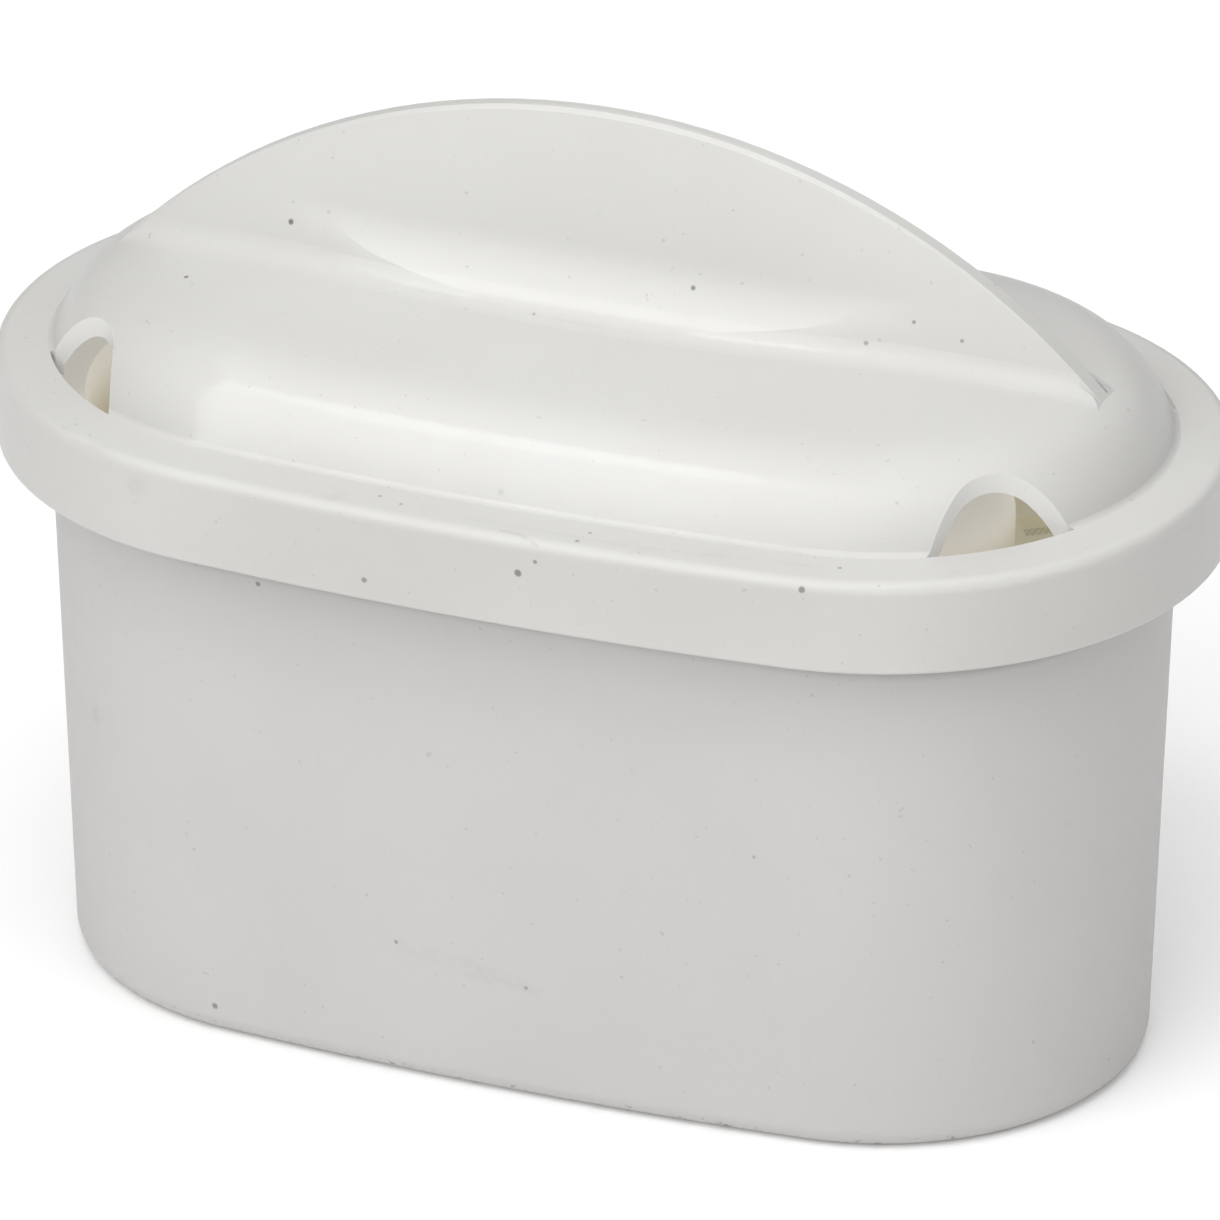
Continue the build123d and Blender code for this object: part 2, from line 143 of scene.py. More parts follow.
class Bench:
    """Where one material is put together."""

    def __init__(self, name: str) -> None:
        """Start an empty material with its place read in millimetres.

        Args:
            name: Name of the material.
        """
        self.material = bpy.data.materials.new(name)
        self.material.use_nodes = True
        self.tree = self.material.node_tree
        self.tree.nodes.clear()
        self.shader = self.tree.nodes.new("ShaderNodeBsdfPrincipled")
        self.outlet = self.tree.nodes.new("ShaderNodeOutputMaterial")
        self.tree.links.new(self.shader.outputs[0], self.outlet.inputs["Surface"])
        metres = self.make("ShaderNodeTexCoord", output="Object")
        self.place = self.make("ShaderNodeVectorMath", {"operation": "SCALE"}, {0: metres, "Scale": 1 / MM})

    def make(
        self,
        kind: str,
        settings: Optional[dict[str, object]] = None,
        sockets: Optional[Sockets] = None,
        output: Union[str, int] = 0,
    ) -> Signal:
        """Add one node.

        Args:
            kind: The node's type.
            settings: Properties set before its sockets; "stops" gives a colour ramp's places and colours.
            sockets: A value or a link for each named or numbered input.
            output: The output to hand back.

        Returns:
            That output, ready for arithmetic.
        """
        node = self.tree.nodes.new(kind)
        for key, value in (settings or {}).items():
            if key == "stops":
                self._set_stops(node.color_ramp, value)
            else:
                setattr(node, key, value)
        for key, value in (sockets or {}).items():
            self.feed(node.inputs[key], value)
        return Signal(self, node.outputs[output])

    def _set_stops(self, ramp: bpy.types.ColorRamp, stops: tuple[tuple[float, Colour], ...]) -> None:
        """Give a colour ramp its stops.

        Args:
            ramp: The ramp of a new node.
            stops: A place from 0 to 1 and a colour for each stop.
        """
        while len(ramp.elements) < len(stops):
            ramp.elements.new(1.0)
        for element, (position, colour) in zip(ramp.elements, stops):
            element.position = position
            element.color = (*colour, 1.0)

    def feed(self, socket: bpy.types.NodeSocket, value: object) -> None:
        """Link a signal to a socket, or set the socket's own value.

        Args:
            socket: An input of a node.
            value: A signal, a number, a colour or a vector.
        """
        if isinstance(value, Signal):
            self.tree.links.new(value.socket, socket)
        elif isinstance(value, tuple) and socket.type == "RGBA":
            socket.default_value = (*value, 1.0)
        else:
            socket.default_value = value

    def noise(self, width: float, detail: float = 2.0, stretch: Triple = (1.0, 1.0, 1.0)) -> Signal:
        """Even noise.

        Args:
            width: Width of one blotch.
            detail: How many finer layers it has.
            stretch: How much each axis is drawn out.

        Returns:
            A value about one half.
        """
        scale = tuple(1 / (width * share) for share in stretch)
        settings = {"vector_type": "POINT"}
        where = self.make("ShaderNodeMapping", settings, {"Vector": self.place, "Scale": scale})
        return self.make("ShaderNodeTexNoise", {}, {"Vector": where, "Scale": 1.0, "Detail": detail}, "Fac")

    def blend(self, amount: Operand, base: object, over: object) -> Signal:
        """Mix two colours.

        Args:
            amount: Share of the second colour.
            base: First colour.
            over: Second colour.

        Returns:
            The mixed colour.
        """
        settings = {"data_type": "RGBA", "blend_type": "MIX"}
        return self.make("ShaderNodeMix", settings, {0: amount, 6: base, 7: over}, 2)

    @cached_property
    def _parts(self) -> bpy.types.NodeOutputs:
        """The place taken apart, once for a material."""
        return self.make("ShaderNodeSeparateXYZ", {}, {0: self.place}).socket.node.outputs

    def axis(self, axis: Axis) -> Signal:
        """Place along one axis."""
        return Signal(self, self._parts[axis.value])

    def distance(self, one: object, other: object) -> Signal:
        """How far apart two places are."""
        return self.make("ShaderNodeVectorMath", {"operation": "DISTANCE"}, {0: one, 1: other}, "Value")

    def bump(self, height: Signal, depth: float, under: Optional[Signal] = None) -> Signal:
        """Relief from a height.

        Args:
            height: Value that is taken as height.
            depth: Depth of one unit of it.
            under: Relief that this one lies on.

        Returns:
            The bent normal.
        """
        sockets: Sockets = {"Height": height, "Distance": depth * MM, "Strength": 1.0}
        if under is not None:
            sockets["Normal"] = under
        return self.make("ShaderNodeBump", {}, sockets, "Normal")

    def dress(self, **sockets: object) -> bpy.types.Material:
        """Feed the shader and give the material.

        Args:
            sockets: Values of the shader's sockets, named with underscores for blanks.

        Returns:
            The finished material.
        """
        for key, value in sockets.items():
            self.feed(self.shader.inputs[key.replace("_", " ")], value)
        return self.material


def direction(azimuth: float, elevation: float) -> Vector:
    """Way out from the cartridge to a camera or a lamp.

    Args:
        azimuth: Degrees from the front, towards the right end.
        elevation: Degrees above the table.

    Returns:
        A vector of length one.
    """
    turn, rise = math.radians(azimuth), math.radians(elevation)
    return Vector((math.sin(turn) * math.cos(rise), -math.cos(turn) * math.cos(rise), math.sin(rise)))


@dataclass(frozen=True)
class PhotoView:
    """Camera that stands where the photo was taken from.

    Args:
        azimuth: Degrees from the front, towards the right end.
        elevation: Degrees above the table.
        roll: Degrees that the camera is turned about its own line of sight.
        distance: Distance from the target.
        focal: Focal length in pixels of the photo.
        target: Point looked at.
        sensor: Width of the camera's sensor.
        horizon: Metres beyond which nothing is drawn.
    """

    azimuth: float = 21.69
    elevation: float = 26.365
    roll: float = 0.081
    distance: float = 1153.07
    focal: float = 13663.0
    target: Triple = (-0.013, 0.0, 34.496)
    sensor: float = 36.0
    horizon: float = 20.0

    def axes(self) -> tuple[Vector, Vector, Vector]:
        """Find how the camera is turned.

        Returns:
            Its right, up and back directions.
        """
        turn, roll = math.radians(self.azimuth), math.radians(self.roll)
        back = direction(self.azimuth, self.elevation)
        level = Vector((math.cos(turn), math.sin(turn), 0.0))
        upright = back.cross(level)
        right = level * math.cos(roll) + upright * math.sin(roll)
        return right, upright * math.cos(roll) - level * math.sin(roll), back

    def position(self) -> Vector:
        """Where the camera stands, in metres."""
        return (Vector(self.target) + self.axes()[2] * self.distance) * MM

    def sight(self, px: float, py: float) -> Vector:
        """Find the line of sight through one pixel of the photo.

        Args:
            px: Photo pixel across.
            py: Photo pixel down.

        Returns:
            Its direction, of length one.
        """
        right, up, back = self.axes()
        middle = PHOTO_SIDE / 2
        return (right * (px - middle) / self.focal + up * (middle - py) / self.focal - back).normalized()

    def land(self, px: float, py: float, surface: BVHTree) -> Optional[Vector]:
        """Find the spot on a surface that a pixel of the photo shows.

        Args:
            px: Photo pixel across.
            py: Photo pixel down.
            surface: The moulding to search.

        Returns:
            The spot, or nothing when the line of sight misses.
        """
        hit = surface.ray_cast(self.position(), self.sight(px, py))[0]
        return hit / MM if hit else None

    def set_up(self) -> None:
        """Make the camera and hand it to the scene."""
        data = bpy.data.cameras.new("photo_camera")
        data.sensor_width = self.sensor
        data.lens = self.focal * self.sensor / PHOTO_SIDE
        data.clip_end = self.horizon
        camera = bpy.data.objects.new("photo_camera", data)
        bpy.context.scene.collection.objects.link(camera)
        turned = Matrix(self.axes()).transposed().to_4x4()
        camera.matrix_world = Matrix.Translation(self.position()) @ turned
        bpy.context.scene.camera = camera


@dataclass(frozen=True)
class Softbox:
    """Flat studio light that faces the middle of the cartridge.

    Args:
        name: What the light is for.
        azimuth: Degrees from the front, towards the right end.
        elevation: Degrees above the table.
        distance: Metres away.
        width: Metres across.
        height: Metres high.
        power: Watts.
    """

    name: str
    azimuth: float
    elevation: float
    distance: float
    width: float
    height: float
    power: float

    aim: ClassVar[Triple] = (0.0, 0.0, 35.0)

    def hang(self) -> None:
        """Make the light and turn it to the cartridge."""
        data = bpy.data.lights.new(self.name, "AREA")
        data.shape = "RECTANGLE"
        data.size = self.width
        data.size_y = self.height
        data.energy = self.power
        lamp = bpy.data.objects.new(self.name, data)
        bpy.context.scene.collection.objects.link(lamp)
        away = direction(self.azimuth, self.elevation)
        lamp.location = Vector(self.aim) * MM + away * self.distance
        lamp.rotation_euler = away.to_track_quat("Z", "Y").to_euler()


@dataclass(frozen=True)
class Grime:
    """Noise that every mark on one moulding shares.

    Args:
        ragged: Noise about nought that frays an outline.
        cloudy: Share of grey inside a smudge.
        broken: Share of dirt along a scuff.
        strewn: Tiny faint specks that lie about everywhere.
    """

    ragged: Signal
    cloudy: Signal
    broken: Signal
    strewn: Signal

    @classmethod
    def on(cls, bench: Bench, mottle: Signal) -> "Grime":
        """Set the noise up.

        Args:
            bench: The material that is being put together.
            mottle: The moulding's own fine noise.

        Returns:
            The grime of this material.
        """
        return cls(
            ragged=mottle - NOISE_MIDDLE,
            cloudy=bench.noise(1.3).ramp(0.3, 0.65),
            broken=bench.noise(0.7).ramp(0.36, 0.56),
            strewn=bench.noise(0.6, detail=1.0).ramp(0.73, 0.82) * 0.22,
        )


@dataclass(frozen=True)
class Fleck:
    """Small dark grain of dirt, placed by the photo pixel that it covers.

    Its outline is frayed by a share of its radius, and it is at full strength inside its core.

    Args:
        label: Where it lies.
        px: Photo pixel across.
        py: Photo pixel down.
        radius: Radius of its outline.
        strength: How dark it is, from 0 to 1.
    """

    label: str
    px: float
    py: float
    radius: float
    strength: float

    fray: ClassVar[float] = 0.9
    core: ClassVar[float] = 0.45

    def mask(self, bench: Bench, view: PhotoView, surface: BVHTree, grime: Grime) -> Optional[Signal]:
        """Share of dirt at each place.

        Args:
            bench: The material that is being put together.
            view: The photo's camera.
            surface: The moulding that it lies on.
            grime: Noise that frays and breaks it.

        Returns:
            The mask, or nothing when the line of sight misses the moulding.
        """
        spot = view.land(self.px, self.py, surface)
        if spot is None:
            return None
        return self._spread(bench.distance(bench.place, tuple(spot)), grime)

    def _spread(self, away: Signal, grime: Grime) -> Signal:
        """Dirt within a frayed outline.

        Args:
            away: Distance from the mark's middle.
            grime: Noise that frays the outline.

        Returns:
            The share of dirt.
        """
        frayed = away + grime.ragged * (self.radius * self.fray)
        return frayed.ramp(self.radius * self.core, self.radius, self.strength, 0.0)


@dataclass(frozen=True)
class Smudge(Fleck):
    """Wide faint grey mark with a soft outline, such as a finger or a shelf leaves."""

    def _spread(self, away: Signal, grime: Grime) -> Signal:
        """Grey that thins out evenly; Args and Returns are a fleck's."""
        return away.ramp(0.0, self.radius, self.strength, 0.0) * grime.cloudy


@dataclass(frozen=True)
class Scuff(Fleck):
    """Dark broken streak from one photo pixel to another.

    Args:
        end_px: Photo pixel across where it ends.
        end_py: Photo pixel down where it ends.
    """

    end_px: float
    end_py: float

    fray: ClassVar[float] = 1.6
    core: ClassVar[float] = 0.3

    def mask(self, bench: Bench, view: PhotoView, surface: BVHTree, grime: Grime) -> Optional[Signal]:
        """Share of dirt at each place.

        Args:
            bench: The material that is being put together.
            view: The photo's camera.
            surface: The moulding that it lies on.
            grime: Noise that frays and breaks it.

        Returns:
            The mask, or nothing when a line of sight misses the moulding.
        """
        start = view.land(self.px, self.py, surface)
        end = view.land(self.end_px, self.end_py, surface)
        if start is None or end is None:
            return None
        vector, run = "ShaderNodeVectorMath", end - start
        offset = bench.make(vector, {"operation": "SUBTRACT"}, {0: bench.place, 1: tuple(start)})
        share = tuple(run / run.length_squared)
        along = bench.make(vector, {"operation": "DOT_PRODUCT"}, {0: offset, 1: share}, "Value")
        held = along.highest(0.0).lowest(1.0)
        nearest = bench.make(vector, {"operation": "SCALE"}, {0: tuple(run), "Scale": held})
        return self._spread(bench.distance(offset, nearest), grime) * grime.broken


@dataclass(frozen=True)
class PolishedBand:
    """Belt of clear, polished skin round the middle of a moulding.

    Args:
        low: Height of its lower edge.
        high: Height of its upper edge.
        half_length: How far it reaches to each side of its middle.
        strength: Share of polish at its middle.
        middle: Place of its middle along the length.
        fade: Length over which its ends die out.
    """

    low: float
    high: float
    half_length: float
    strength: float
    middle: float
    fade: float

    below: ClassVar[float] = 0.1
    rise: ClassVar[float] = 0.35
    soft: ClassVar[float] = 1.5

    def mask(self, bench: Bench) -> Signal:
        """Share of polish at each place.

        Args:
            bench: The material that is being put together.

        Returns:
            The mask.
        """
        tall = bench.axis(Axis.HEIGHT)
        rising = tall.ramp(self.low - self.below, self.low + self.rise)
        falling = tall.ramp(self.high - self.soft, self.high + self.soft, self.strength, 0.0)
        away = abs(bench.axis(Axis.LENGTH) - self.middle)
        return rising * falling * away.fall(self.half_length - self.fade, self.half_length)


@dataclass(frozen=True)
class SoftCrease:
    """Softened fold where the grip's leaning flank meets the flat of the finger scoop.

    Args:
        ridge: Height of the grip's ridge.
        arch: Radius of the ridge's arch.
        flank_start: Half the ridge's thickness.
        flank_slope: How far the flank leans out for each millimetre down.
        scoop_slope: How far the scoop's flat leans out for each millimetre down.
        scoop_flat: Height where the flat turns into the hollow curve.
        scoop_radius: Radius of that curve.
        scoop_axis: Place of its axis across and up.
        reach: Depth of thickness over which the two are blended.
        low: Height under which the fold is crisp again.
        fade: Height over which it turns crisp.
        skin: Distances off the outer skin between which the blend dies out.
    """

    ridge: float = 80.741
    arch: float = 60.72
    flank_start: float = 0.8
    flank_slope: float = 0.35
    scoop_slope: float = 0.1962
    scoop_flat: float = 69.8
    scoop_radius: float = 8.0
    scoop_axis: tuple[float, float] = (10.95, 71.341)
    reach: float = 1.3
    low: float = 65.8
    fade: float = 3.6
    skin: tuple[float, float] = (0.6, 1.4)

    def height(self, bench: Bench) -> Signal:
        """How far the blend takes the skin in.

        Args:
            bench: The material that is being put together.

        Returns:
            The depth, negative inwards.
        """
        tall, along = bench.axis(Axis.HEIGHT), bench.axis(Axis.LENGTH)
        rise = (self.arch**2 - along * along).root()
        flank = (rise + (self.ridge - self.arch) - tall) * self.flank_slope + self.flank_start
        across, up = self.scoop_axis
        held = tall.lowest(self.scoop_flat)
        hollow = across - (self.scoop_radius**2 - (held - up) * (held - up)).root()
        scoop = hollow + (held - tall) * self.scoop_slope
        share = (self.reach - abs(flank - scoop)).highest(0.0) / self.reach
        off_skin = abs(abs(bench.axis(Axis.ACROSS)) - flank.lowest(scoop))
        kept = tall.ramp(self.low, self.low + self.fade) * off_skin.fall(*self.skin)
        return share * share * kept * (-self.reach / 4)


@dataclass(frozen=True)
class InnerLight:
    """Painted glow from what lies inside the milky walls, standing in for light that soaks through them; it
    is dimmer lower down, as painted shade.

    Args:
        low: Height at which it is dim.
        high: Height at which it is bright.
        dim: Its colour at and under the low height.
        bright: Its colour at and over the high height.
    """

    low: float
    high: float
    dim: Colour
    bright: Colour

    def colour(self, bench: Bench) -> Signal:
        """Colour given off at each place."""
        return bench.blend(bench.axis(Axis.HEIGHT).ramp(self.low, self.high), self.dim, self.bright)


@dataclass(frozen=True)
class CutFaceLight:
    """Painted glow on the inlets' upright cut faces, standing in for light that soaks through the cover and
    leaves it there.

    Args:
        low: Height of their lower edge.
        high: Height of their upper edge.
        bright: Its colour.
        middle: Place of an inlet along the length and across.
        reach: Radius round that place.
        soft: Length over which the radius dies out.
        edges: Heights over which it sets in at the lower edge and dies out at the upper one.
        upright: Leans of a face, from 0 to 1, between which the light dies out.
    """

    low: float
    high: float
    bright: Colour
    middle: tuple[float, float] = (37.5, 15.0)
    reach: float = 8.5
    soft: float = 0.5
    edges: tuple[float, float] = (0.2, 0.4)
    upright: tuple[float, float] = (0.03, 0.14)

    def colour(self, bench: Bench) -> Signal:
        """Colour given off at each place.

        Args:
            bench: The material that is being put together.

        Returns:
            The colour.
        """
        facing = bench.make("ShaderNodeTexCoord", output="Normal")
        lean = abs(bench.make("ShaderNodeSeparateXYZ", {}, {0: facing}, Axis.HEIGHT.value))
        tall = bench.axis(Axis.HEIGHT)
        lower, upper = self.edges
        belt = tall.ramp(self.low, self.low + lower) * tall.fall(self.high, self.high + upper)
        sides = {0: abs(bench.axis(Axis.LENGTH)), 1: abs(bench.axis(Axis.ACROSS))}
        plan = bench.make("ShaderNodeCombineXYZ", {}, sides)
        near = bench.distance(plan, (*self.middle, 0.0)).fall(self.reach - self.soft, self.reach)
        return bench.blend(lean.fall(*self.upright) * belt * near, (0.0, 0.0, 0.0), self.bright)


@dataclass(frozen=True)
class PaintedShadeBelt:
    """Painted shade that thickens evenly from one height to another.

    Args:
        clear: Height where there is none.
        full: Height where it is full.
        share: How strong it is there, from 0 to 1.
        tone: Its colour.
        spread: Share of it that comes and goes with the drift.
    """

    clear: float
    full: float
    share: float
    tone: Colour
    spread: float

    def over(self, bench: Bench, colour: Signal, drift: Signal) -> Signal:
        """Lay the painted shade over a colour.

        Args:
            bench: The material that is being put together.
            colour: Colour under it.
            drift: Wide soft cloud, from 0 to 1.

        Returns:
            The shaded colour.
        """
        uneven = drift * self.spread + (1 - self.spread)
        # Painted shade grows from the clear height to the full one.
        soiled = bench.axis(Axis.HEIGHT).ramp(self.clear, self.full) * uneven
        return bench.blend(soiled * self.share, colour, self.tone)


@dataclass(frozen=True)
class PatchyBelt:
    """Rubbed patches between two heights.

    Args:
        low: Height of its lower edge.
        high: Height of its upper edge.
        rise: Height over which it sets in above the lower edge.
        fade: Height over which it dies out above the upper edge.
        width: Width of one patch.
        outline: Readings of the noise between which a patch sets in.
        share: How strong it is, from 0 to 1.
        tone: Its colour.
        stretch: How much a patch is drawn out along each axis.
    """

    low: float
    high: float
    rise: float
    fade: float
    width: float
    outline: tuple[float, float]
    share: float
    tone: Colour
    stretch: Triple = (1.0, 1.0, 1.0)

    detail: ClassVar[float] = 3.0

    def over(self, bench: Bench, colour: Signal, drift: Signal) -> Signal:
        """Lay the patches over a colour.

        Args:
            bench: The material that is being put together.
            colour: Colour under them.
            drift: Wide soft cloud, which leaves them as they are.

        Returns:
            The rubbed colour.
        """
        tall = bench.axis(Axis.HEIGHT)
        inside = tall.ramp(self.low, self.low + self.rise) * tall.fall(self.high, self.high + self.fade)
        patches = bench.noise(self.width, self.detail, self.stretch).ramp(*self.outline) * inside
        return bench.blend(patches * self.share, colour, self.tone)


@dataclass(frozen=True)
class MouldedPlastic:
    """White or cream moulded plastic with a fine matte grain.

    Its colour drifts in wide clouds and in a fine mottle, which roughens it as well.

    Args:
        name: Name of the material.
        colour: Colour of clean plastic.
        shade: Colour that it drifts to in soft blotches.
        roughness: Roughness of the matte skin.
        polished: Belts of polished skin.
        crease: Fold that is softened.
        light: Painted glow that stands in for light soaking through the thin walls and leaving them again.
        soiling_and_shade: Painted shade, rubbed patches and burr marks on it, the lowest layer first.
        marks: Grains of dirt, smudges and scuffs on it.
    """

    name: str
    colour: Colour
    shade: Colour
    roughness: float
    polished: tuple[PolishedBand, ...] = ()
    crease: Optional[SoftCrease] = None
    light: Optional[Union[InnerLight, CutFaceLight]] = None
    soiling_and_shade: tuple[Union[PaintedShadeBelt, PatchyBelt], ...] = ()
    marks: tuple[Fleck, ...] = ()

    cloud_width: ClassVar[float] = 26.0
    cloud_share: ClassVar[float] = 0.8
    mottle_width: ClassVar[float] = 1.6
    mottle_share: ClassVar[float] = 0.4
    mottle_roughness: ClassVar[float] = 0.12
    grain_width: ClassVar[float] = 0.22
    grain_depth: ClassVar[float] = 0.006
    rubbed_width: ClassVar[float] = 9.0
    rubbed_stretch: ClassVar[Triple] = (3.0, 1.0, 1.0)
    rubbed_share: ClassVar[float] = 0.7
    coat_roughness: ClassVar[float] = 0.1
    refraction: ClassVar[float] = 1.5
    dirt: ClassVar[Colour] = (0.07, 0.065, 0.06)

    def material(self, view: PhotoView, surface: BVHTree) -> bpy.types.Material:
        """Build the material.

        Args:
            view: The photo's camera, which places the marks.
            surface: The moulding's surface.

        Returns:
            The finished material.
        """
        bench = Bench(self.name)
        drift = bench.noise(self.cloud_width).ramp(0.3, 0.7)
        mottle = bench.noise(self.mottle_width)
        uneven = mottle - NOISE_MIDDLE
        shaded = drift * self.cloud_share + uneven * self.mottle_share
        colour = bench.blend(shaded, self.colour, self.shade)
        # Layers of painted shade and of real rubbed patches and burr marks.
        for layer in self.soiling_and_shade:
            colour = layer.over(bench, colour, drift)
        if self.marks:
            colour = bench.blend(self._dirt(bench, view, surface, mottle), colour, self.dirt)
        under = None if self.crease is None else bench.bump(self.crease.height(bench), 1.0)
        grain = bench.noise(self.grain_width, detail=1.0)
        looks = {
            "Base_Color": colour,
            "Roughness": self.roughness + uneven * self.mottle_roughness,
            "IOR": self.refraction,
            "Normal": bench.bump(grain, self.grain_depth, under),
        }
        if self.polished:
            belts = [band.mask(bench) for band in self.polished]
            rubbed = bench.noise(self.rubbed_width, stretch=self.rubbed_stretch)
            clear = rubbed.ramp(0.5, 0.8, 1.0, self.rubbed_share)
            looks |= {"Coat_Weight": sum(belts[1:], belts[0]) * clear, "Coat_Roughness": self.coat_roughness}
        # Painted glow: emission in place of light that soaks through the walls.
        if self.light is not None:
            looks |= {"Emission_Color": self.light.colour(bench), "Emission_Strength": 1.0}
        return bench.dress(**looks)

    def _dirt(self, bench: Bench, view: PhotoView, surface: BVHTree, mottle: Signal) -> Signal:
        """Put every mark that lands on the surface into one mask.

        Args:
            bench: The material that is being put together.
            view: The photo's camera.
            surface: The moulding's surface.
            mottle: The moulding's own fine noise.

        Returns:
            The share of dirt at each place.
        """
        grime = Grime.on(bench, mottle)
        total = grime.strewn
        for mark in self.marks:
            mask = mark.mask(bench, view, surface, grime)
            if mask is None:
                log.warning("mark %s misses %s", mark.label, self.name)
                continue
            total = total.highest(mask)
        return total


@dataclass(frozen=True)
class WovenCloth:
    """Plain weave of fine white thread, unevenly soiled by what it holds back.

    Args:
        name: Name of the material.
        pitch: Distance from one thread to the next.
        thread: Colour of the thread.
        gap: Colour between the threads.
        soil: Colour that it is soiled with.
        light: Painted glow that stands in for light soaking through the cover and coming back out of the
            cloth.
        relief: Depth of the weave.
    """

    name: str = "sieve_cloth"
    pitch: float = 0.45
    thread: Colour = (0.62, 0.60, 0.52)
    gap: Colour = (0.38, 0.35, 0.27)
    soil: Colour = (0.48, 0.45, 0.36)
    light: Colour = (0.11, 0.10, 0.07)
    relief: float = 0.08

    def material(self) -> bpy.types.Material:
        """Build the material.

        Returns:
            The finished material.
        """
        bench = Bench(self.name)
        turn = math.pi / self.pitch
        warp, weft = (abs((bench.axis(axis) * turn).sine()) for axis in (Axis.LENGTH, Axis.ACROSS))
        thread = warp.highest(weft)
        uneven = bench.noise(3.0, detail=3.0)
        woven = bench.blend(thread.ramp(0.35, 0.8), self.gap, self.thread)
        # Emission_Color is painted glow for light that soaks through the cover.
        return bench.dress(
            Base_Color=bench.blend(uneven * 0.3, woven, self.soil),
            Roughness=uneven * 0.2 + 0.7,
            Emission_Color=self.light,
            Emission_Strength=1.0,
            Normal=bench.bump(thread, self.relief),
        )


@dataclass(frozen=True)
class Felt:
    """White non-woven fleece of fine pressed fibres.

    Args:
        name: Name of the material.
        colour: Colour of the fibres.
        hollow: Painted shade between the fibres.
        fibre_width: Width of one fibre.
        fibre_stretch: How many times as long as wide a fibre is.
        relief: Depth of the fibres.
    """

    name: str = "fleece"
    colour: Colour = (0.80, 0.80, 0.78)
    hollow: Colour = (0.55, 0.55, 0.52)
    fibre_width: float = 0.25
    fibre_stretch: float = 6.0
    relief: float = 0.12

    def material(self) -> bpy.types.Material:
        """Build the material.

        Returns:
            The finished material.
        """
        bench = Bench(self.name)
        along = bench.noise(self.fibre_width, 4.0, (self.fibre_stretch, 1.0, 1.0))
        across = bench.noise(self.fibre_width, 4.0, (1.0, self.fibre_stretch, 1.0))
        fibre = along.highest(across)
        tuft = bench.noise(4.0, detail=3.0)
        return bench.dress(
            # Painted shade darkens the hollows between the fibres.
            Base_Color=bench.blend(fibre.ramp(0.45, 0.65) * 0.8 + tuft * 0.2, self.hollow, self.colour),
            Roughness=tuft * 0.15 + 0.8,
            Normal=bench.bump(fibre, self.relief),
        )


@dataclass(frozen=True)
class GrainBed:
    """Bed of amber resin beads mixed with black carbon grains.

    Args:
        name: Name of the material.
        grain: Width of one grain.
        amber: Dark, middle and light colour of the beads, each with its place from 0 to 1.
        carbon: Colour of the carbon grains.
        gap: Painted shade in the gaps between grains.
        relief: Depth of the grains.
    """

    name: str = "granules"
    grain: float = 0.9
    amber: tuple[tuple[float, Colour], ...] = (
        (0.0, (0.30, 0.16, 0.05)),
        (0.6, (0.46, 0.28, 0.10)),
        (1.0, (0.55, 0.38, 0.18)),
    )
    carbon: Colour = (0.025, 0.024, 0.023)
    gap: Colour = (0.02, 0.018, 0.015)
    relief: float = 0.5

    def material(self) -> bpy.types.Material:
        """Build the material.

        Returns:
            The finished material.
        """
        bench = Bench(self.name)
        settings = {"feature": "F1", "distance": "EUCLIDEAN"}
        sockets = {"Vector": bench.place, "Scale": 1 / self.grain}
        away = bench.make("ShaderNodeTexVoronoi", settings, sockets, "Distance")
        kind = bench.make("ShaderNodeTexVoronoi", settings, sockets, "Color")
        pick = bench.make("ShaderNodeSeparateColor", {}, {0: kind}, "Red")
        is_carbon = pick.ramp(0.55, 0.6)
        bead = bench.make("ShaderNodeValToRGB", {"stops": self.amber}, {0: pick})
        mixed = bench.blend(is_carbon, bead, self.carbon)
        return bench.dress(
            # Painted shade darkens the gaps between the grains.
            Base_Color=bench.blend(away.ramp(0.3, 0.75) * 0.6, mixed, self.gap),
            Roughness=is_carbon * 0.45 + 0.3,
            Normal=bench.bump(1.0 - away, self.relief),
        )


@dataclass(frozen=True)
class Table:
    """Pale round table top that the cartridge stands on.

    Args:
        radius: Metres.
        sides: Straight sides that stand in for its round edge.
        colour: Its paint.
        cloud: Paint that it drifts to.
        cloud_width: Width of one cloud.
        glow: Light that the lit sweep gives back on its own.
    """

    radius: float = 3.0
    sides: int = 96
    colour: Colour = (0.90, 0.90, 0.90)
    cloud: Colour = (0.8865, 0.8865, 0.8865)
    cloud_width: float = 60.0
    glow: float = 0.08

    def build(self) -> None:
        """Build the table top."""
        shape = bmesh.new()
        bmesh.ops.create_circle(shape, cap_ends=True, cap_tris=False, segments=self.sides, radius=self.radius)
        mesh = bpy.data.meshes.new("table_top")
        shape.to_mesh(mesh)
        shape.free()
        top = bpy.data.objects.new("table_top", mesh)
        bpy.context.scene.collection.objects.link(top)
        mesh.materials.append(self._paint())

    def _paint(self) -> bpy.types.Material:
        """Mix matt paint that is clear from below, so that the underside can be looked at.

        Returns:
            The paint.
        """
        bench = Bench("table_paint")
        cloud = bench.noise(self.cloud_width, detail=3.0)
        material = bench.dress(
            Base_Color=bench.blend(cloud * 0.3, self.colour, self.cloud),
            Roughness=cloud * 0.1 + 0.75,
            Emission_Color=PAINT_WHITE,
            Emission_Strength=self.glow,
        )
        clear = bench.make("ShaderNodeBsdfTransparent", output="BSDF")
        behind = bench.make("ShaderNodeNewGeometry", output="Backfacing")
        painted = Signal(bench, bench.shader.outputs[0])
        both = bench.make("ShaderNodeMixShader", {}, {0: behind, 1: painted, 2: clear})
        bench.feed(bench.outlet.inputs["Surface"], both)
        return material


